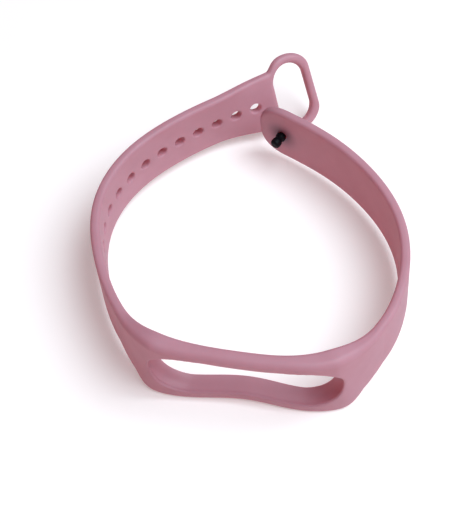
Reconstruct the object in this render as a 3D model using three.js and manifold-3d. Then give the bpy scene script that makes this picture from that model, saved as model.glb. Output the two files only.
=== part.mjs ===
// Silicone fitness band: one flexible moulding with an open tracker pocket, a strap with a row of
// fastening holes that ends in a keeper loop, and a strap that carries a snap-in stud.
// Millimetres, +Z up. The band lies on its side edge, so +Z runs across the strap. The tracker
// pocket faces -Y, the hole strap leaves it towards -X and the stud strap towards +X.
// Every solid of the moulding is drawn in band coordinates and then bent:
//   s  arc length from the middle of the pocket along the inner face
//   w  across the strap
//   n  outwards from the inner face
import * as THREE from "three";
import { mergeVertices } from "three/addons/utils/BufferGeometryUtils.js";
import Module from "manifold-3d";

// ---- driving dimensions ----
const STRAP_WIDTH = 15.4;
const STRAP_THICKNESS = 2.2;
const FRAME_WIDTH = 20.6;
const FRAME_THICKNESS_MIDDLE = 3.4;
const FRAME_THICKNESS_ENDS = 4.4;
const LOWER_RAIL_THICKNESS = 5;
const EDGE_RADIUS = 0.9;

// The shoulders, where the tracker frame narrows and thins into each strap.
const SHOULDER_START = 17.5;
const SHOULDER_END = 30;
const FRAME_CORNER = 18.5;
const THINNED_END = 31;

// The pocket: a lip at each face and a wider groove between them that grips the tracker's rim.
const POCKET_LENGTH = 39.6;
const POCKET_WIDTH = 15.4;
const LIP_THICKNESS = 0.9;
const GROOVE_DEPTH = 0.8;

// The empty frame is soft: its lower rail bows in towards the wrist between its ends.
const RAIL_BOW = 3.7;
const RAIL_LIFT = 0.5;
const BOW_END = 26;
const LIFT_END = 13;
// The lower rail is thicker than the upper one up to here, and like it from there on.
const THICK_RAIL_END = 19;
const EVEN_RAIL_START = 25;

// Each side of the band as seen from above: arc length, and the bend radius there.
// A negative radius bends away from the wrist.
const HOLE_SIDE = {
  mirror: -1,
  bends: [
    [0, 330], [12, 55], [22, 18], [32, 37], [44, 77], [58, 26],
    [72, 30], [86, 67], [100, 140], [108, 100], [113, -34],
    [117, -300], [128, -300],
  ],
  leanStart: 97,
  leanEnd: 119,
  lean: THREE.MathUtils.degToRad(27),
};
const STUD_SIDE = {
  mirror: 1,
  bends: [
    [0, 330], [12, 27], [22, 19], [32, 26], [44, 38], [58, 30],
    [72, 50], [86, 56], [98, 200], [112, -80],
  ],
  leanStart: 58,
  leanEnd: 122,
  lean: 0,
};

// Flex zones: the moulding is divided where it bends, and a hinge stands at each division.
const FRAME_END = 28;
const ZONE_GAP = 0.3;
const HOLE_PITCH = 5.1;
const HOLE_COUNT = 13;
const HOLE_DIAMETER = 2.7;
const LAST_HOLE = 108;
const HOLE_ZONES = [
  ["hole_strap_root", FRAME_END, 44.25],
  ["hole_strap_lower", 44.25, 59.55],
  ["hole_strap_middle", 59.55, 74.85],
  ["hole_strap_upper", 74.85, 90.15],
  ["hole_strap_end", 90.15, 110.55],
];
const STUD_ZONES = [
  ["stud_strap_root", FRAME_END, 46],
  ["stud_strap_lower", 46, 62],
  ["stud_strap_middle", 62, 78],
  ["stud_strap_upper", 78, 93],
];
const STUD_STRAP_LENGTH = 105.6;
const TIP_BLUNTNESS = 2.5;

// The keeper loop at the end of the hole strap.
const LOOP_START = 110.55;
const LOOP_END = 124.2;
const LOOP_WIDTH = 20.2;
const LOOP_BAR = 2.1;
const LOOP_THICKNESS = 2.4;
const LOOP_CORNER = 5;

// The stud: a round cap outside, a post through the strap and a waisted head inside, which snaps
// into a hole. Its collar and its round end are set by how far they stand in from the strap.
const STUD_STATION = 99;
const CAP_RADIUS = 3.8;
const CAP_THICKNESS = 0.8;
const CAP_PROUD = 0.4;
const POST_RADIUS = 0.85;
const HEAD_RADIUS = 1.2;
const HEAD_WAIST_RADIUS = 0.75;
const HEAD_COLLAR_LEVEL = 0.3;
const HEAD_END_LEVEL = 2.4;
const CLEARANCE = 0.3;

const SILICONE = new THREE.MeshStandardMaterial({ color: 0xc79aa6, roughness: 0.55, metalness: 0 });
const BLACK = new THREE.MeshStandardMaterial({ color: 0x17151a, roughness: 0.35, metalness: 0 });

const wasm = await Module();
wasm.setup();

// ---- the plan curve and the bend ----
const { smoothstep } = THREE.MathUtils;
const clamp01 = (x) => THREE.MathUtils.clamp(x, 0, 1);

function curvatureAt(bends, s) {
  let i = 1;
  while (i < bends.length - 1 && s > bends[i][0]) i += 1;
  const [s0, r0] = bends[i - 1];
  const [s1, r1] = bends[i];
  const f = Math.min(Math.max((s - s0) / (s1 - s0), 0), 1);
  return (1 - f) / r0 + f / r1;
}

const TRACE_STEP = 0.25;

function traceSide(side) {
  const last = side.bends.at(-1)[0];
  const points = [{ x: 0, y: 0, heading: 0 }];
  for (let s = 0; s < last; s += TRACE_STEP) {
    const from = points.at(-1);
    const turn = TRACE_STEP * curvatureAt(side.bends, s + TRACE_STEP / 2);
    const middle = from.heading + turn / 2;
    points.push({
      x: from.x + TRACE_STEP * Math.cos(middle),
      y: from.y + TRACE_STEP * Math.sin(middle),
      heading: from.heading + turn,
    });
  }
  return points;
}

const traces = new Map([HOLE_SIDE, STUD_SIDE].map((side) => [side, traceSide(side)]));

// The inner face's plan point at s, with its heading; the hole side is mirrored to -X.
function planAt(side, s) {
  const points = traces.get(side);
  const at = Math.min(Math.max(s, 0) / TRACE_STEP, points.length - 1.001);
  const i = Math.floor(at);
  const f = at - i;
  const mix = (key) => points[i][key] * (1 - f) + points[i + 1][key] * f;
  return { x: mix("x"), y: mix("y"), heading: mix("heading") };
}

function leanAt(side, s) {
  return side.lean * smoothstep(s, side.leanStart, side.leanEnd);
}

function bend(side, s, w, n) {
  const plan = planAt(side, s);
  const lean = leanAt(side, s);
  const out = n * Math.cos(lean) + w * Math.sin(lean);
  return new THREE.Vector3(
    side.mirror * (plan.x + out * Math.sin(plan.heading)),
    plan.y - out * Math.cos(plan.heading),
    w * Math.cos(lean) - n * Math.sin(lean),
  );
}

// A frame at a point of the band: x along s, y across, z outwards.
function placeAt(side, s, w, n) {
  const plan = planAt(side, s);
  const lean = leanAt(side, s);
  const along = new THREE.Vector3(side.mirror * Math.cos(plan.heading), Math.sin(plan.heading), 0);
  const across = bend(side, s, 1, 0).sub(bend(side, s, 0, 0));
  const out = bend(side, s, 0, 1).sub(bend(side, s, 0, 0));
  const handed = along.clone().cross(across).dot(out) < 0 ? along.negate() : along;
  return new THREE.Matrix4().makeBasis(handed, across, out).setPosition(bend(side, s, w, n));
}

function halfWidthAt(s) {
  const narrow = smoothstep(Math.abs(s), SHOULDER_START, SHOULDER_END);
  return FRAME_WIDTH / 2 + (STRAP_WIDTH - FRAME_WIDTH) / 2 * narrow;
}

function thicknessAt(s) {
  const d = Math.abs(s);
  const swell = (FRAME_THICKNESS_ENDS - FRAME_THICKNESS_MIDDLE) * smoothstep(d, 6, FRAME_CORNER);
  const share = clamp01((d - FRAME_CORNER) / (THINNED_END - FRAME_CORNER));
  const thin = share * (1.3 - 0.3 * share);
  const thick = FRAME_THICKNESS_MIDDLE + swell;
  return thick + (STRAP_THICKNESS - thick) * thin;
}

// ---- solids ----
function flatPositions(geometry) {
  const flat = geometry.index ? geometry.toNonIndexed() : geometry;
  return flat.getAttribute("position").clone();
}

function manifoldOf(geometry) {
  const bare = new THREE.BufferGeometry();
  bare.setAttribute("position", flatPositions(geometry));
  const merged = mergeVertices(bare, 1e-4);
  const vertProperties = merged.attributes.position.array;
  const triVerts = new Uint32Array(merged.index.array);
  const made = new wasm.Manifold(new wasm.Mesh({ numProp: 3, vertProperties, triVerts }));
  if (made.volume() >= 0) return made;
  for (let i = 0; i < triVerts.length; i += 3) {
    [triVerts[i + 1], triVerts[i + 2]] = [triVerts[i + 2], triVerts[i + 1]];
  }
  return new wasm.Manifold(new wasm.Mesh({ numProp: 3, vertProperties, triVerts }));
}

function meshOf(name, solid, material) {
  const { vertProperties, triVerts, numProp } = solid.getMesh();
  const position = new Float32Array((vertProperties.length / numProp) * 3);
  for (let i = 0; i * numProp < vertProperties.length; i += 1) {
    position.set(vertProperties.subarray(i * numProp, i * numProp + 3), i * 3);
  }
  const geometry = new THREE.BufferGeometry();
  geometry.setAttribute("position", new THREE.BufferAttribute(position, 3));
  geometry.setIndex(new THREE.BufferAttribute(triVerts, 1));
  geometry.computeVertexNormals();
  const mesh = new THREE.Mesh(geometry, material);
  mesh.name = name;
  return mesh;
}

// Moves every vertex of a geometry by a function of its position.
function reshape(geometry, move) {
  const bare = new THREE.BufferGeometry();
  bare.setAttribute("position", flatPositions(geometry));
  const merged = mergeVertices(bare, 1e-4);
  const position = merged.attributes.position;
  for (let i = 0; i < position.count; i += 1) {
    const to = move(position.getX(i), position.getY(i), position.getZ(i));
    position.setXYZ(i, to.x, to.y, to.z);
  }
  return merged;
}

// The strap's section: a rectangle with round corners, across by outwards, with points along its
// long faces so that it can follow a change of width.
function strapSection() {
  const half = STRAP_WIDTH / 2 - EDGE_RADIUS;
  const points = [];
  const corner = (w, n, from) => {
    for (let i = 0; i <= 3; i += 1) {
      const a = from + (i * Math.PI) / 6;
      points.push(new THREE.Vector2(w + EDGE_RADIUS * Math.cos(a), n + EDGE_RADIUS * Math.sin(a)));
    }
  };
  const face = (n, direction) => {
    for (const f of [-0.5, 0, 0.5]) points.push(new THREE.Vector2(direction * f * half, n));
  };
  corner(half, EDGE_RADIUS, -Math.PI / 2);
  corner(half, STRAP_THICKNESS - EDGE_RADIUS, 0);
  face(STRAP_THICKNESS, -1);
  corner(-half, STRAP_THICKNESS - EDGE_RADIUS, Math.PI / 2);
  corner(-half, EDGE_RADIUS, Math.PI);
  face(0, 1);
  return new THREE.Shape(points);
}

// Fits a point of the strap's section to another half width and thickness. The corners keep their
// radius where the section grows, and the whole section shrinks where it narrows.
function fitSection(w, n, half, thickness) {
  const wide = half - STRAP_WIDTH / 2;
  const across = wide < 0 ? (w * half * 2) / STRAP_WIDTH : w + Math.sign(w) * wide;
  const outer = n > STRAP_THICKNESS / 2;
  return [across, outer ? n + thickness - STRAP_THICKNESS : n];
}

// A stretch of strap from s0 to s1, as a manifold.
function strapStretch(side, s0, s1, steps, halfAt = halfWidthAt, stationAt = (f) => s0 + f * (s1 - s0)) {
  const stretch = new THREE.ExtrudeGeometry(strapSection(), { depth: 1, steps, bevelEnabled: false });
  const bent = reshape(stretch, (x, y, z) => {
    const s = stationAt(z);
    const [w, n] = fitSection(x, y, halfAt(s), thicknessAt(s));
    return bend(side, s, w, n);
  });
  return manifoldOf(bent);
}

// A round bar standing through the strap at a station.
function barThrough(side, s, radius, n0, n1, sides) {
  const bar = new THREE.CylinderGeometry(radius, radius, n1 - n0, sides);
  bar.rotateX(Math.PI / 2);
  bar.applyMatrix4(placeAt(side, s, 0, (n0 + n1) / 2));
  return manifoldOf(bar);
}

// ---- the tracker frame ----
// The lower rail bows inwards, lifts a little and is thicker between the ends of the pocket.
function bendFrame(s, w, n) {
  const hump = (end) => Math.cos((Math.PI / 2) * Math.min(Math.abs(s) / end, 1)) ** 2;
  const low = smoothstep(-w, 0, POCKET_WIDTH / 2);
  const side = s < 0 ? HOLE_SIDE : STUD_SIDE;
  const lift = RAIL_LIFT * hump(LIFT_END) * low;
  const bow = RAIL_BOW * hump(BOW_END) * low;
  const thickness = thicknessAt(s);
  const thicker = LOWER_RAIL_THICKNESS - thickness;
  const reach = 1 - smoothstep(Math.abs(s), THICK_RAIL_END, EVEN_RAIL_START);
  const between = clamp01((n - LIP_THICKNESS) / (thickness - 2 * LIP_THICKNESS));
  return bend(side, Math.abs(s), w + lift, n - bow + thicker * reach * low * between);
}

// The pocket's outline: a stadium, as points in s and w.
function pocketOutline() {
  const radius = POCKET_WIDTH / 2;
  const straight = POCKET_LENGTH / 2 - radius;
  const points = [];
  for (const direction of [1, -1]) {
    for (let i = 0; i <= 12; i += 1) {
      const a = (i * Math.PI) / 12 - Math.PI / 2;
      const s = straight + radius * Math.cos(a);
      points.push(new THREE.Vector2(direction * s, direction * radius * Math.sin(a)));
    }
    for (let i = 1; i < 12; i += 1) {
      points.push(new THREE.Vector2(direction * straight * (1 - i / 6), direction * radius));
    }
  }
  return points;
}

// Moves a point of the pocket's outline outwards by a distance, as an offset stadium.
function growOutline(s, w, grow) {
  const straight = POCKET_LENGTH / 2 - POCKET_WIDTH / 2;
  const core = Math.min(Math.max(s, -straight), straight);
  const length = Math.hypot(s - core, w);
  return [core + ((s - core) * (length + grow)) / length, (w * (length + grow)) / length];
}

// The pocket is one bar through the frame, wider where the groove is.
function pocketBar() {
  const beyond = 4;
  const step = 0.15;
  const levels = [
    () => [-beyond, 0],
    () => [LIP_THICKNESS - step, 0],
    () => [LIP_THICKNESS + step, GROOVE_DEPTH],
    (t) => [t - LIP_THICKNESS - step, GROOVE_DEPTH],
    (t) => [t - LIP_THICKNESS + step, 0],
    (t) => [t + beyond, 0],
  ];
  const steps = levels.length - 1;
  const bar = new THREE.ExtrudeGeometry(new THREE.Shape(pocketOutline()), {
    depth: steps,
    steps,
    bevelEnabled: false,
  });
  return manifoldOf(reshape(bar, (s, w, level) => {
    const [n, grow] = levels[Math.round(level)](thicknessAt(s));
    return bendFrame(...growOutline(s, w, grow), n);
  }));
}

function trackerFrame() {
  const reach = FRAME_END - ZONE_GAP / 2;
  const body = new THREE.ExtrudeGeometry(strapSection(), { depth: 1, steps: 36, bevelEnabled: false });
  const bent = reshape(body, (x, y, z) => {
    const s = reach * (2 * z - 1);
    const [w, n] = fitSection(x, y, halfWidthAt(s), thicknessAt(s));
    return bendFrame(s, w, n);
  });
  return manifoldOf(bent).subtract(pocketBar());
}

// ---- the straps ----
function holeStations() {
  return Array.from({ length: HOLE_COUNT }, (_, i) => LAST_HOLE - i * HOLE_PITCH);
}

function holeStrapZone(s0, s1) {
  let zone = strapStretch(HOLE_SIDE, s0 + ZONE_GAP / 2, s1 - ZONE_GAP / 2, 8);
  for (const s of holeStations()) {
    if (s < s0 || s > s1) continue;
    zone = zone.subtract(barThrough(HOLE_SIDE, s, HOLE_DIAMETER / 2, -2, STRAP_THICKNESS + 2, 16));
  }
  return zone;
}

// The free end of the stud strap: rounded in outline, with the stud's bore and the cap's recess.
function studStrapTip(s0) {
  const roundFrom = STUD_STRAP_LENGTH - STRAP_WIDTH / 2;
  const straightShare = 0.35;
  const start = s0 + ZONE_GAP / 2;
  const station = (f) => {
    if (f < straightShare) return start + (f / straightShare) * (roundFrom - start);
    const a = ((f - straightShare) / (1 - straightShare)) * 1.5;
    return roundFrom + (STRAP_WIDTH / 2) * Math.sin(a);
  };
  const half = (s) => {
    const along = Math.max(s - roundFrom, 0) / (STRAP_WIDTH / 2);
    return (STRAP_WIDTH / 2) * (1 - along ** TIP_BLUNTNESS) ** (1 / TIP_BLUNTNESS);
  };
  const body = strapStretch(STUD_SIDE, start, STUD_STRAP_LENGTH, 20, half, station);
  const bore = barThrough(STUD_SIDE, STUD_STATION, POST_RADIUS + CLEARANCE, -2, STRAP_THICKNESS + 2, 24);
  const recessFloor = STRAP_THICKNESS + CAP_PROUD - CAP_THICKNESS - CLEARANCE;
  const recess = barThrough(
    STUD_SIDE, STUD_STATION, CAP_RADIUS + CLEARANCE, recessFloor, STRAP_THICKNESS + 3, 40,
  );
  return body.subtract(bore).subtract(recess);
}

// ---- the keeper loop ----
// The loop's outline: a neck as wide as the strap, a flare, and an end bar with wide round corners.
function loopOutline(inset) {
  const half = LOOP_WIDTH / 2 - inset;
  const end = LOOP_END - inset;
  const neck = STRAP_WIDTH / 2;
  const start = LOOP_START + ZONE_GAP / 2;
  const crown = (LOOP_START + LOOP_END) / 2 + 0.6;
  const bar = half - LOOP_CORNER;
  const shape = new THREE.Shape();
  shape.moveTo(start, -neck);
  shape.lineTo(start + 2.2, -neck);
  shape.bezierCurveTo(start + 3.2, -neck, crown - 3.2, -half, crown, -half);
  shape.bezierCurveTo(crown + 3.6, -half, end, -bar - 2.6, end, -bar);
  shape.lineTo(end, bar);
  shape.bezierCurveTo(end, bar + 2.6, crown + 3.6, half, crown, half);
  shape.bezierCurveTo(crown - 3.2, half, start + 3.2, neck, start + 2.2, neck);
  shape.lineTo(start, neck);
  return shape;
}

function loopHole() {
  const half = LOOP_WIDTH / 2 - LOOP_BAR;
  const s0 = LOOP_START + 3.3;
  const s1 = LOOP_END - LOOP_BAR;
  const middle = (s0 + s1) / 2;
  const bar = half - LOOP_CORNER + 1;
  const hole = new THREE.Path();
  hole.moveTo(middle, -half);
  hole.bezierCurveTo(middle + 2.6, -half, s1, -bar - 1.6, s1, -bar);
  hole.lineTo(s1, bar);
  hole.bezierCurveTo(s1, bar + 1.6, middle + 2.6, half, middle, half);
  hole.bezierCurveTo(middle - 2.6, half, s0, bar + 1.6, s0, bar);
  hole.lineTo(s0, -bar);
  hole.bezierCurveTo(s0, -bar - 1.6, middle - 2.6, -half, middle, -half);
  return hole;
}

function keeperLoop() {
  const bevel = 0.5;
  const outline = loopOutline(bevel);
  outline.holes.push(loopHole());
  const ring = new THREE.ExtrudeGeometry(outline, {
    depth: LOOP_THICKNESS - 2 * bevel,
    steps: 1,
    curveSegments: 6,
    bevelEnabled: true,
    bevelThickness: bevel,
    bevelSize: 0.4,
    bevelSegments: 2,
  });
  const bent = reshape(ring, (s, w, depth) => {
    const n = depth + bevel + (STRAP_THICKNESS - LOOP_THICKNESS) / 2;
    return bend(HOLE_SIDE, Math.max(s, LOOP_START + ZONE_GAP / 2), w, n);
  });
  return manifoldOf(bent);
}

// ---- the stud ----
function studPart(name, geometry, n) {
  geometry.applyMatrix4(placeAt(STUD_SIDE, STUD_STATION, 0, n));
  return meshOf(name, manifoldOf(geometry), BLACK);
}

// The cap and its post are one turned piece; z = 0 is the cap's outer face.
function studCap() {
  const outer = STRAP_THICKNESS + CAP_PROUD;
  const postEnd = -CLEARANCE;
  const round = 0.25;
  const profile = [
    new THREE.Vector2(0, postEnd - outer),
    new THREE.Vector2(POST_RADIUS, postEnd - outer),
    new THREE.Vector2(POST_RADIUS, -CAP_THICKNESS),
    new THREE.Vector2(CAP_RADIUS - round, -CAP_THICKNESS),
    new THREE.Vector2(CAP_RADIUS, -CAP_THICKNESS + round),
    new THREE.Vector2(CAP_RADIUS, -round),
    new THREE.Vector2(CAP_RADIUS - round, 0),
    new THREE.Vector2(0, 0),
  ];
  const turned = new THREE.LatheGeometry(profile, 40);
  turned.rotateX(Math.PI / 2);
  return studPart("stud_cap", turned, outer);
}

// The head is a turned spool that points at the wrist: a collar, a waist and a round end.
function studHead() {
  const waistAngle = Math.asin(HEAD_WAIST_RADIUS / HEAD_RADIUS);
  const baseAngle = Math.acos((HEAD_COLLAR_LEVEL - CLEARANCE) / HEAD_RADIUS);
  const profile = [];
  const arc = (level, from, to) => {
    for (let i = 0; i <= 8; i += 1) {
      const a = from + ((to - from) * i) / 8;
      profile.push(new THREE.Vector2(HEAD_RADIUS * Math.sin(a), -level - HEAD_RADIUS * Math.cos(a)));
    }
  };
  arc(HEAD_END_LEVEL, 0, Math.PI - waistAngle);
  arc(HEAD_COLLAR_LEVEL, waistAngle, Math.PI - baseAngle);
  profile.push(new THREE.Vector2(0, -CLEARANCE));
  const turned = new THREE.LatheGeometry(profile, 32);
  turned.rotateX(Math.PI / 2);
  return studPart("stud_head", turned, 0);
}

// ---- assembly ----
const band = new THREE.Group();
band.add(meshOf("tracker_frame", trackerFrame(), SILICONE));
for (const [name, s0, s1] of HOLE_ZONES) {
  band.add(meshOf(name, holeStrapZone(s0, s1), SILICONE));
}
band.add(meshOf("keeper_loop", keeperLoop(), SILICONE));
for (const [name, s0, s1] of STUD_ZONES) {
  band.add(meshOf(name, strapStretch(STUD_SIDE, s0 + ZONE_GAP / 2, s1 - ZONE_GAP / 2, 8), SILICONE));
}
band.add(meshOf("stud_strap_tip", studStrapTip(STUD_ZONES.at(-1)[2]), SILICONE));
band.add(studCap());
band.add(studHead());

// The origin is the middle of the band's box, at its lowest point.
const box = new THREE.Box3().setFromObject(band);
const middle = box.getCenter(new THREE.Vector3());
band.position.set(-middle.x, -middle.y, -box.min.z);

export default band;
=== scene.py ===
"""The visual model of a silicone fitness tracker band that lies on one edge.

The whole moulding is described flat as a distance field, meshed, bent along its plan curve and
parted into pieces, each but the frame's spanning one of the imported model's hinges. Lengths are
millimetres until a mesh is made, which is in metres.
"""
import math

import bpy
import numpy as np
from mathutils import Matrix, Vector


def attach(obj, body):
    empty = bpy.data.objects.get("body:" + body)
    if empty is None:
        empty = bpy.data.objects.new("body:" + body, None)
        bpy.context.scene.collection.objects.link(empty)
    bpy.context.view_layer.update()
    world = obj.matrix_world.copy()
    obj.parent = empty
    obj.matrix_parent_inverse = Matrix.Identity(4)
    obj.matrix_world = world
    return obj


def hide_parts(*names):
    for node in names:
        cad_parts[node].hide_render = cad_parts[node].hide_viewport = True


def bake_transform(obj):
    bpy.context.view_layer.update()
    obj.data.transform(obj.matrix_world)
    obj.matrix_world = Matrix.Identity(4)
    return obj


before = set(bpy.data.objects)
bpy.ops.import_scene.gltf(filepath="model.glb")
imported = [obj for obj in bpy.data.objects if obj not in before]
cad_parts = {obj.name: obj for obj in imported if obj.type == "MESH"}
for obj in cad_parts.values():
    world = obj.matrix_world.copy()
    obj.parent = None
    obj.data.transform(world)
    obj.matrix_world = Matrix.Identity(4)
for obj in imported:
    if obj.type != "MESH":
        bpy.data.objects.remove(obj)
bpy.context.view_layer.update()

MM = 0.001

# ---- the band's sizes ----
STRAP_HALF = 7.7
STRAP_THICKNESS = 2.2
FRAME_HALF = 10.3
FRAME_THICKNESS_MIDDLE = 3.4
FRAME_THICKNESS_ENDS = 4.4
LOWER_RAIL_THICKNESS = 5.0
SHOULDER_START = 17.5
SHOULDER_END = 30.0
EVEN_FRAME_END = 6.0
FRAME_CORNER = 18.5
THINNED_END = 31.0
THINNING_LEAD = 0.3
POCKET_STRAIGHT = 12.1
POCKET_RADIUS = 7.7
LIP_THICKNESS = 0.9
GROOVE_DEPTH = 0.8
RAIL_BOW = 3.7
RAIL_LIFT = 0.5
BOW_END = 26.0
LIFT_END = 13.0
THICK_RAIL_END = 19.0
EVEN_RAIL_START = 25.0
HOLE_COUNT = 13
HOLE_PITCH = 5.1
HOLE_RADIUS = 1.35
LAST_HOLE = 108.0
LOOP_ROOT = 110.7
LOOP_END = 124.2
LOOP_HALF = 10.1
LOOP_CROWN = 117.975
LOOP_BAR = 2.1
LOOP_CORNER = 5.0
NECK_START = 2.2
NECK_HANDLE = 3.2
CROWN_HANDLES = (3.2, 3.6)
END_BAR_HANDLE = 2.6
OPENING_INSET = 0.15
OPENING_GAP = 3.3
OPENING_HANDLE = 2.6
OPENING_SIDE_HANDLE = 1.6
LOOP_LEAD = 12
LOOP_FIELD_LEAD = 2
TIP_END = 105.6
TIP_BLUNTNESS = 2.5
TIP_LEAD = 30
TIP_FIELD_LEAD = 12
STUD_STATION = 99.0
CAP_RADIUS = 3.8
CAP_THICKNESS = 0.8
CAP_PROUD = 0.4
POST_RADIUS = 0.85
HEAD_RADIUS = 1.2
HEAD_WAIST_RADIUS = 0.75

# Stations along each half, with the plan curve's radius there: plus bends towards the wrist.
# Most radii are a fit to the photo's outline, rounded or moved a little; the rows nearest the
# ends were set one by one.
HOLE_SIDE = dict(
    mirror=-1, lean=math.radians(27), lean_start=97.0, lean_end=119.0,
    bends=[(0, 330), (12, 55), (22, 18), (32, 37), (44, 77), (58, 26), (72, 30), (86, 67),
           (100, 140), (108, 100), (113, -34), (117, -300), (128, -300)],
)
STUD_SIDE = dict(
    mirror=1, lean=0.0, lean_start=97.0, lean_end=119.0,
    bends=[(0, 330), (12, 27), (22, 19), (32, 26), (44, 38), (58, 30), (72, 50), (86, 56),
           (98, 200), (112, -80)],
)
TRACE_STEP = 0.25
# The middle of the inner face, in the row frame, as the CAD script works it out.
ORIGIN = np.array([4.676499, -40.936131, 10.3])


def smoothstep(x, start, end):
    t = np.clip((x - start) / (end - start), 0.0, 1.0)
    return t * t * (3.0 - 2.0 * t)


def trace(side):
    stations = np.array([b[0] for b in side["bends"]], float)
    curvatures = 1.0 / np.array([b[1] for b in side["bends"]], float)
    middles = np.arange(0.0, stations[-1], TRACE_STEP) + TRACE_STEP / 2
    turn = TRACE_STEP * np.interp(middles, stations, curvatures)
    heading = np.concatenate([[0.0], np.cumsum(turn)])
    middle_heading = heading[:-1] + turn / 2
    x = np.concatenate([[0.0], np.cumsum(TRACE_STEP * np.cos(middle_heading))])
    y = np.concatenate([[0.0], np.cumsum(TRACE_STEP * np.sin(middle_heading))])
    side["trace"] = (np.arange(len(x)) * TRACE_STEP, x, y, heading)


trace(HOLE_SIDE)
trace(STUD_SIDE)


def bend(side, s, w, n):
    """One half's points in the row frame, from length, width and height over the inner face."""
    stations, xs, ys, headings = side["trace"]
    x, y, heading = (np.interp(s, stations, v) for v in (xs, ys, headings))
    lean = side["lean"] * smoothstep(s, side["lean_start"], side["lean_end"])
    out = n * np.cos(lean) + w * np.sin(lean)
    return np.stack([
        side["mirror"] * (x + out * np.sin(heading)),
        y - out * np.cos(heading),
        w * np.cos(lean) - n * np.sin(lean),
    ], axis=-1) + ORIGIN


def band_to_space(u, w, n):
    """u runs along the whole band and is below zero on the half with the holes."""
    s = np.abs(u)
    low = smoothstep(-w, 0.0, STRAP_HALF)

    def hump(end):
        return np.cos(np.pi / 2 * np.minimum(s / end, 1.0)) ** 2

    thickness = thickness_at(s)
    rail = 1 - smoothstep(s, THICK_RAIL_END, EVEN_RAIL_START)
    thicker = (LOWER_RAIL_THICKNESS - thickness) * rail
    core = np.maximum(thickness - 2 * LIP_THICKNESS, 0.1)
    between = np.clip((n - LIP_THICKNESS) / core, 0.0, 1.0)
    n = n + (thicker * between - RAIL_BOW * hump(BOW_END)) * low
    w = w + RAIL_LIFT * hump(LIFT_END) * low
    on_holes = (u < 0)[..., None]
    return np.where(on_holes, bend(HOLE_SIDE, s, w, n), bend(STUD_SIDE, s, w, n))


def half_width_at(s):
    return FRAME_HALF - (FRAME_HALF - STRAP_HALF) * smoothstep(s, SHOULDER_START, SHOULDER_END)


def thickness_at(s):
    corner = FRAME_THICKNESS_ENDS - FRAME_THICKNESS_MIDDLE
    thick = FRAME_THICKNESS_MIDDLE + corner * smoothstep(s, EVEN_FRAME_END, FRAME_CORNER)
    share = np.clip((s - FRAME_CORNER) / (THINNED_END - FRAME_CORNER), 0.0, 1.0)
    return thick + (STRAP_THICKNESS - thick) * share * (1 + THINNING_LEAD - THINNING_LEAD * share)


# ---- distance fields ----
def plate(outline, level, radius):
    """A plate's distance from its outline's distance and its level's, its edges rounded."""
    a = outline + radius
    b = level + radius
    outer = np.sqrt(np.maximum(a, 0.0) ** 2 + np.maximum(b, 0.0) ** 2)
    return outer + np.minimum(np.maximum(a, b), 0.0) - radius


def bezier(p0, p1, p2, p3, count=24):
    t = np.linspace(0.0, 1.0, count + 1)[1:, None]
    p0, p1, p2, p3 = (np.array(p, float) for p in (p0, p1, p2, p3))
    return (1 - t) ** 3 * p0 + 3 * t * (1 - t) ** 2 * p1 + 3 * t * t * (1 - t) * p2 + t ** 3 * p3


def outline_distance(points, polygon):
    """Signed distance of 2-D points to a closed polygon, below zero inside it."""
    a = polygon
    b = np.roll(polygon, -1, axis=0)
    edge = b - a
    best = np.full(len(points), 1e9)
    inside = np.zeros(len(points), bool)
    for p, q, e in zip(a, b, edge):
        to = points - p
        t = np.clip((to @ e) / max(e @ e, 1e-12), 0.0, 1.0)
        best = np.minimum(best, ((to - t[:, None] * e) ** 2).sum(1))
        crosses = (p[1] > points[:, 1]) != (q[1] > points[:, 1])
        if q[1] != p[1]:
            at = (q[0] - p[0]) * (points[:, 1] - p[1]) / (q[1] - p[1]) + p[0]
            inside ^= crosses & (points[:, 0] < at)
    return np.sqrt(best) * np.where(inside, -1.0, 1.0)


def loop_outline():
    half, neck, start, end, crown = LOOP_HALF, STRAP_HALF, LOOP_ROOT, LOOP_END, LOOP_CROWN
    bar = half - LOOP_CORNER
    neck_edge = np.array([[start - LOOP_LEAD, -neck], [start + NECK_START, -neck]])
    widening = bezier((start + NECK_START, -neck), (start + NECK_HANDLE, -neck),
                      (crown - CROWN_HANDLES[0], -half), (crown, -half))
    corner = bezier((crown, -half), (crown + CROWN_HANDLES[1], -half),
                    (end, -bar - END_BAR_HANDLE), (end, -bar))
    lower = np.concatenate([neck_edge, widening, corner])
    return np.concatenate([lower, lower[::-1] * [1, -1]])


def loop_opening():
    half = LOOP_HALF - LOOP_BAR
    s0 = LOOP_ROOT - OPENING_INSET + OPENING_GAP
    s1 = LOOP_END - LOOP_BAR
    middle = (s0 + s1) / 2
    bar = half - LOOP_CORNER + 1
    near = bezier((s0, -bar), (s0, -bar - OPENING_SIDE_HANDLE),
                  (middle - OPENING_HANDLE, -half), (middle, -half))
    far = bezier((middle, -half), (middle + OPENING_HANDLE, -half),
                 (s1, -bar - OPENING_SIDE_HANDLE), (s1, -bar))
    lower = np.concatenate([near, far])
    return np.concatenate([lower, lower[::-1] * [1, -1]])


def tip_outline():
    lengths = np.linspace(0.0, 1.0, 60)
    along = TIP_END - STRAP_HALF + STRAP_HALF * (1 - (1 - lengths) ** 2)
    share = np.clip((along - (TIP_END - STRAP_HALF)) / STRAP_HALF, 0.0, 1.0)
    half = STRAP_HALF * (1 - share ** TIP_BLUNTNESS) ** (1 / TIP_BLUNTNESS)
    upper = np.stack([along, half], axis=1)
    start = np.array([[TIP_END - TIP_LEAD, STRAP_HALF]])
    upper = np.concatenate([start, upper])
    return np.concatenate([upper, upper[::-1][1:] * [1, -1]])


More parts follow.
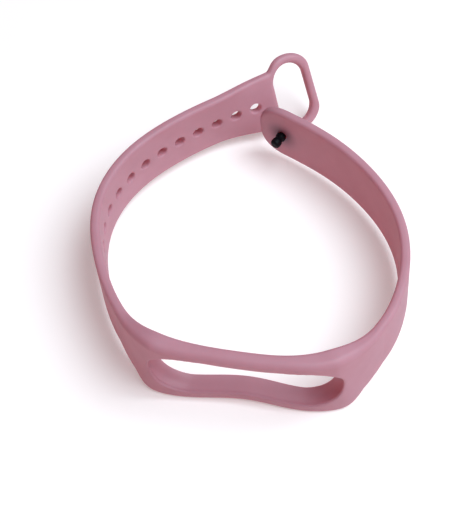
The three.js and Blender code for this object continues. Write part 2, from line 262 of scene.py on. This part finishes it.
# ---- the moulding as one field over (u, w, n) ----
STEP = np.array([0.3, 0.25, 0.2])
MARGIN_U, MARGIN_W, MARGIN_N = 1.2, 0.875, 0.7
OUTSIDE = 1e3
SOFT = 0.2
SKIN_INSET = 0.005
STRAP_EDGE = 0.85
FRAME_EDGE_MORE = 0.15
LOOP_EDGE_MORE = 0.2
EDGE_CHANGE = (16.0, 30.0)
ROLLED_EDGE = 0.7
ROLLED_CHANGE = (20.0, 34.0)
LOOP_SWELL = 0.1
LOOP_SWELL_RISE = (109.0, 113.0)
HOLE_EDGE = 0.3
NEAR_HOLE = 3.0
OPENING_EDGE = 0.95
LIP_EDGE = 0.3
INNER_LIP = 0.4
GROOVE_RISE = (0.5, 2.4)
GROOVE_EDGE = 0.2
NEAR_STUD = 7
SEAT_GAP = 0.12
SEAT_EDGE = 0.15
BORE_GAP = 0.15
BORE_EDGE = 0.3

u_axis = np.arange(-LOOP_END - MARGIN_U, TIP_END + MARGIN_U, STEP[0])
w_axis = np.arange(-FRAME_HALF - MARGIN_W, FRAME_HALF + MARGIN_W, STEP[1])
n_axis = np.arange(-MARGIN_N, FRAME_THICKNESS_ENDS + MARGIN_N, STEP[2])
u_grid, w_grid = np.meshgrid(u_axis, w_axis, indexing="ij")
s_grid = np.abs(u_grid)

outline = np.abs(w_grid) - half_width_at(s_grid)
plan_points = np.stack([s_grid, w_grid], axis=-1)
near_tip = u_axis > TIP_END - TIP_FIELD_LEAD
outline[near_tip] = outline_distance(
    plan_points[near_tip].reshape(-1, 2), tip_outline()).reshape(-1, len(w_axis))
near_loop = u_axis < -(LOOP_ROOT - LOOP_FIELD_LEAD)
outline[near_loop] = outline_distance(
    plan_points[near_loop].reshape(-1, 2), loop_outline()).reshape(-1, len(w_axis))

# The loop's bars are a little thicker and rounder than the strap.
in_loop = smoothstep(-u_axis, *LOOP_SWELL_RISE)
inner_level = -LOOP_SWELL * in_loop
outer_level = thickness_at(np.abs(u_axis)) + LOOP_SWELL * in_loop - SKIN_INSET
middle_level = (inner_level + outer_level) / 2
half_level = (outer_level - inner_level) / 2
level = np.abs(n_axis[None, :] - middle_level[:, None]) - half_level[:, None]
in_middle = smoothstep(-np.abs(u_axis), -EDGE_CHANGE[1], -EDGE_CHANGE[0])
edge_radius = STRAP_EDGE + FRAME_EDGE_MORE * in_middle + LOOP_EDGE_MORE * in_loop


def deep(plan_field):
    return plan_field[:, :, None]


level3 = level[:, None, :]
# The frame's upper outer edge is rolled over, much rounder than its other edges.
upper_outer = (w_axis > 0)[None, :, None] & (n_axis[None, None, :] > middle_level[:, None, None])
frame_share = smoothstep(-np.abs(u_axis), -ROLLED_CHANGE[1], -ROLLED_CHANGE[0])[:, None, None]
rounding = edge_radius[:, None, None] + ROLLED_EDGE * frame_share * upper_outer
field = plate(deep(outline), level3, rounding)

# The row of holes, softly rounded at both faces.
hole_field = np.full(u_grid.shape, -OUTSIDE)
for i in range(HOLE_COUNT):
    station = LAST_HOLE - HOLE_PITCH * i
    hole_field = np.maximum(hole_field, HOLE_RADIUS - np.hypot(u_grid + station, w_grid))
near_hole = hole_field.max(axis=1) > -NEAR_HOLE
field[near_hole] = np.maximum(
    field[near_hole], plate(deep(hole_field[near_hole]), level3[near_hole], HOLE_EDGE))

# The keeper loop's opening.
opening = np.full(u_grid.shape, -OUTSIDE)
opening[near_loop] = -outline_distance(
    plan_points[near_loop].reshape(-1, 2), loop_opening()).reshape(-1, len(w_axis))
field[near_loop] = np.maximum(
    field[near_loop], plate(deep(opening[near_loop]), level3[near_loop], OPENING_EDGE))

# The tracker pocket: its wall deepens outwards into a groove, behind a thin outer lip.
in_frame = np.abs(u_axis) < SHOULDER_END
to_pocket = np.hypot(np.maximum(s_grid[in_frame] - POCKET_STRAIGHT, 0.0), w_grid[in_frame])
frame_level = level3[in_frame]
lips = plate(deep(POCKET_RADIUS - to_pocket), frame_level, LIP_EDGE)
depth = GROOVE_DEPTH * smoothstep(n_axis, *GROOVE_RISE)[None, None, :]
lip_start = (outer_level[in_frame] - LIP_THICKNESS)[:, None, None]
groove_level = np.maximum(n_axis[None, None, :] - lip_start, INNER_LIP - n_axis[None, None, :])
groove = plate(deep(to_pocket - POCKET_RADIUS) - depth, groove_level, GROOVE_EDGE)


def soft_max(a, b):
    return (a + b + np.sqrt((a - b) ** 2 + SOFT ** 2)) / 2


field[in_frame] = soft_max(np.maximum(field[in_frame], lips), -groove)

# The stud's seat in the outer face, and the bore its post goes through.
seat_floor = STRAP_THICKNESS + CAP_PROUD - CAP_THICKNESS
near_stud = np.abs(u_axis - STUD_STATION) < NEAR_STUD
from_stud = np.hypot(u_grid[near_stud] - STUD_STATION, w_grid[near_stud])[:, :, None]
seat = plate(from_stud - CAP_RADIUS - SEAT_GAP, seat_floor - n_axis[None, None, :], SEAT_EDGE)
bore = plate(POST_RADIUS + BORE_GAP - from_stud, level3[near_stud], BORE_EDGE)
field[near_stud] = np.maximum(np.maximum(field[near_stud], -seat), bore)


# ---- from the field to a mesh ----
def surface_net(values, axes):
    """A closed quad mesh of the field's zero surface: one vertex per crossed cell, each face
    across one crossed grid edge. Returns vertices, faces and each vertex's cell along axis 0."""
    shape = np.array(values.shape)
    cells = shape - 1
    inside = values < 0
    ids, positions, face_sets = [], [], []
    for axis in range(3):
        near = [slice(None)] * 3
        far = [slice(None)] * 3
        near[axis] = slice(None, -1)
        far[axis] = slice(1, None)
        at = np.argwhere(inside[tuple(near)] != inside[tuple(far)])
        beyond = at.copy()
        beyond[:, axis] += 1
        first = values[tuple(at.T)].astype(float)
        second = values[tuple(beyond.T)].astype(float)
        place = at.astype(float)
        place[:, axis] += first / (first - second)
        b, c = (axis + 1) % 3, (axis + 2) % 3
        corners = []
        for db, dc in ((1, 1), (0, 1), (0, 0), (1, 0)):
            cell = at.copy()
            cell[:, b] -= db
            cell[:, c] -= dc
            corners.append(np.ravel_multi_index(cell.T, cells))
            ids.append(corners[-1])
            positions.append(place)
        quads = np.stack(corners, axis=1)
        flipped = first > 0
        quads[flipped] = quads[flipped][:, ::-1]
        face_sets.append(quads)
    ids = np.concatenate(ids)
    positions = np.concatenate(positions)
    used, index = np.unique(ids, return_inverse=True)
    count = np.bincount(index).astype(float)
    mean = np.stack([np.bincount(index, positions[:, k]) / count for k in range(3)], axis=1)
    vertices = np.stack(
        [np.interp(mean[:, k], np.arange(shape[k]), axes[k]) for k in range(3)], axis=1)
    faces = np.searchsorted(used, np.concatenate(face_sets))
    column = np.unravel_index(used, cells)[0]
    return vertices, faces, column


def vertex_normals(points, faces):
    across = points[faces[:, 2]] - points[faces[:, 0]]
    along = points[faces[:, 3]] - points[faces[:, 1]]
    face_normals = np.cross(across, along)
    total = np.zeros_like(points)
    for k in range(4):
        for axis in range(3):
            total[:, axis] += np.bincount(faces[:, k], face_normals[:, axis], len(points))
    return total / np.maximum(np.linalg.norm(total, axis=1, keepdims=True), 1e-12)


def make_mesh(name, points, faces, normals=None, attributes=None):
    mesh = bpy.data.meshes.new(name)
    mesh.vertices.add(len(points))
    mesh.vertices.foreach_set("co", np.asarray(points, np.float32).ravel())
    mesh.loops.add(faces.size)
    mesh.loops.foreach_set("vertex_index", np.asarray(faces, np.int32).ravel())
    mesh.polygons.add(len(faces))
    mesh.polygons.foreach_set("loop_start", np.arange(0, faces.size, 4, dtype=np.int32))
    mesh.polygons.foreach_set("use_smooth", np.ones(len(faces), bool))
    mesh.update(calc_edges=True)
    for key, values in (attributes or {}).items():
        kind = "FLOAT_VECTOR" if values.ndim == 2 else "FLOAT"
        field_name = "vector" if values.ndim == 2 else "value"
        made = mesh.attributes.new(key, kind, "POINT")
        made.data.foreach_set(field_name, np.asarray(values, np.float32).ravel())
    if normals is not None:
        mesh.normals_split_custom_set_from_vertices([tuple(v) for v in normals])
    obj = bpy.data.objects.new(name, mesh)
    bpy.context.scene.collection.objects.link(obj)
    return obj


flat, quads, columns = surface_net(field, (u_axis, w_axis, n_axis))
band_points = band_to_space(flat[:, 0], flat[:, 1], flat[:, 2]) * MM
band_normals = vertex_normals(band_points, quads)

# How near each point is to the dark stud, which shows through the silicone round it: the mask of
# the painted shade round the stud.
HALO_CORE = 0.8
HALO_SPREAD = 1.0
stud_gap = np.hypot(flat[:, 0] - STUD_STATION, flat[:, 1])
stud_shade_mask = 1.0 - smoothstep(stud_gap, HALO_CORE, CAP_RADIUS + HALO_SPREAD)


# ---- materials ----
def node(tree, kind, **inputs):
    made = tree.nodes.new(kind)
    for key, value in inputs.items():
        made.inputs[key.replace("_", " ")].default_value = value
    return made


def new_material(name):
    material = bpy.data.materials.new(name)
    material.use_nodes = True
    return material, material.node_tree, material.node_tree.nodes["Principled BSDF"]


THROUGH_SHARE = 0.28
# How strongly the painted shade round the stud darkens the silicone's colour.
STUD_SHADE_STRENGTH = 0.75


def silicone_material():
    material, tree, shader = new_material("dusty_pink_silicone")
    shader.inputs["Specular IOR Level"].default_value = 0.8
    shader.inputs["IOR"].default_value = 1.45
    shader.inputs["Sheen Weight"].default_value = 0.06
    shader.inputs["Sheen Roughness"].default_value = 0.5
    shader.inputs["Sheen Tint"].default_value = (0.6, 0.72, 1.0, 1.0)

    place = tree.nodes.new("ShaderNodeAttribute")
    place.attribute_name = "flat"
    # The mask of the painted shade round the stud.
    near = tree.nodes.new("ShaderNodeAttribute")
    near.attribute_name = "stud_shade_mask"

    # Slow variation of the pigment, a little redder and a little greyer in turn.
    clouds = node(tree, "ShaderNodeTexNoise", Scale=160.0, Detail=3.0, Roughness=0.55)
    tree.links.new(place.outputs["Vector"], clouds.inputs["Vector"])
    pigment = tree.nodes.new("ShaderNodeValToRGB")
    pigment.color_ramp.elements[0].position = 0.3
    pigment.color_ramp.elements[0].color = (0.545, 0.284, 0.348, 1)
    pigment.color_ramp.elements[1].position = 0.7
    pigment.color_ramp.elements[1].color = (0.585, 0.314, 0.386, 1)
    tree.links.new(clouds.outputs["Fac"], pigment.inputs["Fac"])

    # Painted shade: where the black stud lies behind the silicone it shows through as a grey purple
    # darkening, painted into the base colour in place of the light the cap keeps from passing
    # through.
    painted_stud_shade = tree.nodes.new("ShaderNodeMix")
    painted_stud_shade.data_type = "RGBA"
    strength = tree.nodes.new("ShaderNodeMath")
    strength.operation = "MULTIPLY"
    strength.inputs[1].default_value = STUD_SHADE_STRENGTH
    tree.links.new(near.outputs["Fac"], strength.inputs[0])
    tree.links.new(strength.outputs[0], painted_stud_shade.inputs["Factor"])
    tree.links.new(pigment.outputs["Color"], painted_stud_shade.inputs["A"])
    painted_stud_shade.inputs["B"].default_value = (0.10, 0.04, 0.075, 1)
    tree.links.new(painted_stud_shade.outputs["Result"], shader.inputs["Base Color"])

    # The matt skin of moulded silicone: uneven gloss and a very fine grain.
    skin = node(tree, "ShaderNodeTexNoise", Scale=900.0, Detail=4.0, Roughness=0.6)
    tree.links.new(place.outputs["Vector"], skin.inputs["Vector"])
    gloss = tree.nodes.new("ShaderNodeMapRange")
    gloss.inputs["To Min"].default_value = 0.48
    gloss.inputs["To Max"].default_value = 0.66
    tree.links.new(skin.outputs["Fac"], gloss.inputs["Value"])
    tree.links.new(gloss.outputs["Result"], shader.inputs["Roughness"])
    grain = node(tree, "ShaderNodeTexNoise", Scale=5200.0, Detail=2.0)
    tree.links.new(place.outputs["Vector"], grain.inputs["Vector"])
    bump = node(tree, "ShaderNodeBump", Strength=0.12, Distance=0.00006)
    tree.links.new(grain.outputs["Fac"], bump.inputs["Height"])
    tree.links.new(bump.outputs["Normal"], shader.inputs["Normal"])

    # Light that comes through the thin silicone reddens its shaded side.
    through = node(tree, "ShaderNodeBsdfTranslucent", Color=(0.95, 0.15, 0.12, 1.0))
    body = node(tree, "ShaderNodeMixShader", Fac=THROUGH_SHARE)
    tree.links.new(shader.outputs["BSDF"], body.inputs[1])
    tree.links.new(through.outputs["BSDF"], body.inputs[2])
    tree.links.new(body.outputs["Shader"], tree.nodes["Material Output"].inputs["Surface"])
    return material


def stud_material():
    material, tree, shader = new_material("black_stud")
    shader.inputs["Specular IOR Level"].default_value = 0.12
    place = tree.nodes.new("ShaderNodeTexCoord")
    wear = node(tree, "ShaderNodeTexNoise", Scale=1400.0, Detail=4.0, Roughness=0.6)
    tree.links.new(place.outputs["Object"], wear.inputs["Vector"])
    tone = tree.nodes.new("ShaderNodeValToRGB")
    tone.color_ramp.elements[0].color = (0.002, 0.0015, 0.003, 1)
    tone.color_ramp.elements[1].color = (0.005, 0.004, 0.006, 1)
    tree.links.new(wear.outputs["Fac"], tone.inputs["Fac"])
    tree.links.new(tone.outputs["Color"], shader.inputs["Base Color"])
    gloss = tree.nodes.new("ShaderNodeMapRange")
    gloss.inputs["To Min"].default_value = 0.4
    gloss.inputs["To Max"].default_value = 0.6
    tree.links.new(wear.outputs["Fac"], gloss.inputs["Value"])
    tree.links.new(gloss.outputs["Result"], shader.inputs["Roughness"])
    bump = node(tree, "ShaderNodeBump", Strength=0.1, Distance=0.00003)
    tree.links.new(wear.outputs["Fac"], bump.inputs["Height"])
    tree.links.new(bump.outputs["Normal"], shader.inputs["Normal"])
    return material


silicone = silicone_material()
black = stud_material()


# ---- the moulding's pieces ----
# The frame's piece rides. Every other piece spans one hinge, from the middle of one zone to the
# middle of the next. A row holds the name, the CAD node, the body inwards of the hinge, the side,
# both ends' stations, the hinge's station and the reach.
FRAME_CUT = 22.5
BEYOND_END = 130.0
PIECES = [
    ("silicone_hole_shoulder", "hole_strap_root", "tracker_frame", -1, FRAME_CUT, 36.1, 28.0, 4.7),
    ("silicone_hole_lower", "hole_strap_lower", "hole_strap_root", -1, 36.1, 51.9, 44.25, 6.6),
    ("silicone_hole_middle", "hole_strap_middle", "hole_strap_lower", -1, 51.9, 67.2, 59.55, 6.6),
    ("silicone_hole_upper", "hole_strap_upper", "hole_strap_middle", -1, 67.2, 82.5, 74.85, 6.6),
    ("silicone_hole_end", "hole_strap_end", "hole_strap_upper", -1, 82.5, 100.35, 90.15, 6.6),
    ("silicone_keeper_loop", "keeper_loop", "hole_strap_end", -1, 100.35, BEYOND_END, 110.55, 4.5),
    ("silicone_stud_shoulder", "stud_strap_root", "tracker_frame", 1, FRAME_CUT, 37.0, 28.0, 4.7),
    ("silicone_stud_lower", "stud_strap_lower", "stud_strap_root", 1, 37.0, 54.0, 46.0, 6.6),
    ("silicone_stud_middle", "stud_strap_middle", "stud_strap_lower", 1, 54.0, 70.0, 62.0, 6.6),
    ("silicone_stud_upper", "stud_strap_upper", "stud_strap_middle", 1, 70.0, 85.5, 78.0, 6.4),
    ("silicone_stud_tip", "stud_strap_tip", "stud_strap_upper", 1, 85.5, BEYOND_END, 93.0, 4.5),
]


def column_of(u):
    return int(round((u - u_axis[0]) / STEP[0]))


first_column = columns[quads].min(axis=1)
last_column = columns[quads].max(axis=1)


def silicone_piece(name, u_low, u_high):
    """The moulding's faces between two columns of cells; neighbours share the seam's points."""
    low, high = column_of(u_low), column_of(u_high)
    faces = quads[(first_column >= low) & (last_column <= high)]
    faces = faces[~((columns[faces] == low).all(axis=1))] if u_low > u_axis[0] else faces
    used, faces = np.unique(faces, return_inverse=True)
    faces = faces.reshape(-1, 4)
    # The flat coordinates for the noise, and the mask of the painted shade round the stud.
    made = make_mesh(name, band_points[used], faces, band_normals[used],
                     {"flat": flat[used] * MM, "stud_shade_mask": stud_shade_mask[used]})
    made.data.materials.append(silicone)
    return made


middle_piece = silicone_piece("silicone_tracker_frame", -FRAME_CUT, FRAME_CUT)
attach(middle_piece, "tracker_frame")
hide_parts("tracker_frame")

for name, cad_node, inner_body, mirror, s_near, s_far, hinge, reach in PIECES:
    ends = sorted([mirror * s_near, mirror * s_far])
    made = silicone_piece(name, *ends)
    side = HOLE_SIDE if mirror < 0 else STUD_SIDE
    at, before, after = (
        bend(side, hinge + shift, 0.0, STRAP_THICKNESS / 2) for shift in (0, -0.5, 0.5))
    along = after - before
    along = along / np.linalg.norm(along) * reach
    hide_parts(cad_node)
    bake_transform(made)


# ---- the stud ----
def stud_frame():
    """Axes at the stud: along the strap, across it and out of its outer face."""
    at = bend(STUD_SIDE, STUD_STATION, 0.0, 0.0)
    ends = [bend(STUD_SIDE, STUD_STATION + shift, 0.0, 0.0) for shift in (-0.05, 0.05)]
    along = (ends[1] - ends[0]) / np.linalg.norm(ends[1] - ends[0])
    across = np.array([0.0, 0.0, 1.0])
    return at, along, across, np.cross(along, across)


stud_at, stud_x, stud_y, stud_z = stud_frame()


def stud_piece(name, values, axes, cad_node):
    local, faces, _ = surface_net(values, axes)
    points = (stud_at + local[:, :1] * stud_x + local[:, 1:2] * stud_y + local[:, 2:] * stud_z) * MM
    made = make_mesh(name, points, faces, vertex_normals(points, faces))
    made.data.materials.append(black)
    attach(made, "stud")
    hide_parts(cad_node)
    return made


def stud_axes(reach_x, reach_y, low, high, step):
    spans = ((-reach_x, reach_x), (-reach_y, reach_y), (low, high))
    return tuple(np.arange(a - 2.5 * step, b + 2.5 * step, step) for a, b in spans)


# The head is a turned spool that points at the wrist: a collar, a waist and a round end.
COLLAR_HALF, COLLAR_EDGE = 0.6, 0.4
END_MIDDLE, END_HALF, END_EDGE = 2.55, 1.02, 0.75
WAIST_MIDDLE, WAIST_HALF, WAIST_EDGE, WAIST_MORE = 1.5, 1.0, 0.1, 0.05
WAIST_BLEND = 0.6
SPOOL_LOW, SPOOL_HIGH, SPOOL_STEP = -3.6, 0.1, 0.08

axes = stud_axes(HEAD_RADIUS, HEAD_RADIUS, SPOOL_LOW, SPOOL_HIGH, SPOOL_STEP)
x, y, z = np.meshgrid(*axes, indexing="ij")
from_axis = np.hypot(x, y)
collar = plate(from_axis - HEAD_RADIUS, np.abs(z + COLLAR_HALF) - COLLAR_HALF, COLLAR_EDGE)
end = plate(from_axis - HEAD_RADIUS, np.abs(z + END_MIDDLE) - END_HALF, END_EDGE)
waist = plate(from_axis - HEAD_WAIST_RADIUS - WAIST_MORE, np.abs(z + WAIST_MIDDLE) - WAIST_HALF,
              WAIST_EDGE)


def soft_union(a, b):
    share = np.clip(0.5 + 0.5 * (a - b) / WAIST_BLEND, 0.0, 1.0)
    return a * (1 - share) + b * share - WAIST_BLEND * share * (1 - share)


stud_piece("stud_spool", soft_union(waist, np.minimum(collar, end)), axes, "stud_head")

# The cap is a disc with a turned rim, on the post that runs through the strap.
CAP_EDGE = 0.28
RING_INSET, RING_RADIUS = 0.75, 0.13
POST_MIDDLE, POST_HALF, POST_EDGE = 0.8, 1.2, 0.12
DISC_LOW, DISC_STEP = -0.5, 0.11

axes = stud_axes(CAP_RADIUS, CAP_RADIUS, DISC_LOW, STRAP_THICKNESS + CAP_PROUD, DISC_STEP)
x, y, z = np.meshgrid(*axes, indexing="ij")
from_axis = np.hypot(x, y)
outer_face = STRAP_THICKNESS + CAP_PROUD
cap_level = np.abs(z - (outer_face - CAP_THICKNESS / 2)) - CAP_THICKNESS / 2
disc = plate(from_axis - CAP_RADIUS, cap_level, CAP_EDGE)
ring = np.hypot(from_axis - (CAP_RADIUS - RING_INSET), z - outer_face) - RING_RADIUS
post = plate(from_axis - POST_RADIUS, np.abs(z - POST_MIDDLE) - POST_HALF, POST_EDGE)
stud_piece("stud_disc", np.minimum(np.maximum(disc, -ring), post), axes, "stud_cap")


# ---- floor, camera and light ----
def floor_material():
    material, _, shader = new_material("pale_floor")
    shader.inputs["Base Color"].default_value = (0.84, 0.72, 0.71, 1)
    shader.inputs["Roughness"].default_value = 0.9
    shader.inputs["Specular IOR Level"].default_value = 0.1
    shader.inputs["Emission Color"].default_value = (0.96, 1.0, 1.0, 1)
    shader.inputs["Emission Strength"].default_value = 0.3
    return material


FLOOR_HALF = 1.5
floor_points = np.array([[-1, -1, 0], [1, -1, 0], [1, 1, 0], [-1, 1, 0]]) * FLOOR_HALF
floor = make_mesh("floor", floor_points, np.array([[0, 1, 2, 3]]))
floor.data.materials.append(floor_material())

# The camera, as fitted to the photo together with the band's curves.
AZIMUTH = math.radians(15.571)
ELEVATION = 0.983
ROLL = 0.1048964
DISTANCE = 319.7
FOCAL_MM = 97.95
AIM = (-1.025316, -28.740583)


def place_camera():
    cos_a, sin_a = math.cos(AZIMUTH), math.sin(AZIMUTH)
    x, y = -AIM[0], -AIM[1]
    target = Vector((x * cos_a - y * sin_a, x * sin_a + y * cos_a, 0.0)) + Vector(ORIGIN)
    right = Vector((cos_a, sin_a, 0.0))
    up = Vector((-sin_a * math.sin(ELEVATION), cos_a * math.sin(ELEVATION), math.cos(ELEVATION)))
    back = right.cross(up)
    across = right * math.cos(ROLL) - up * math.sin(ROLL)
    upward = right * math.sin(ROLL) + up * math.cos(ROLL)
    place = Matrix((across, upward, back)).transposed().to_4x4()
    place.translation = (target + back * DISTANCE) * MM
    data = bpy.data.cameras.new("camera")
    data.lens = FOCAL_MM
    data.clip_start, data.clip_end = 0.02, 20.0
    camera = bpy.data.objects.new("camera", data)
    camera.matrix_world = place
    bpy.context.scene.collection.objects.link(camera)
    bpy.context.scene.camera = camera


place_camera()


def area_light(name, direction, distance, size, power, colour):
    data = bpy.data.lights.new(name, "AREA")
    data.shape = "DISK"
    data.size = size
    data.energy = power
    data.color = colour
    lamp = bpy.data.objects.new(name, data)
    direction = Vector(direction).normalized()
    lamp.location = direction * distance
    lamp.rotation_mode = "QUATERNION"
    lamp.rotation_quaternion = direction.to_track_quat("Z", "Y")
    bpy.context.scene.collection.objects.link(lamp)


area_light("key", (0.55, 0.0, 1.0), 0.9, 0.7, 10.8, (0.73, 0.94, 1.0))
area_light("front", (0.5, -0.9, 0.4), 0.9, 0.5, 0.5, (0.9, 0.94, 1.0))

world = bpy.data.worlds.new("studio")
world.use_nodes = True
world.node_tree.nodes["Background"].inputs["Color"].default_value = (1.0, 0.5, 0.55, 1)
world.node_tree.nodes["Background"].inputs["Strength"].default_value = 0.2
bpy.context.scene.world = world
bpy.context.scene.view_settings.view_transform = "Standard"
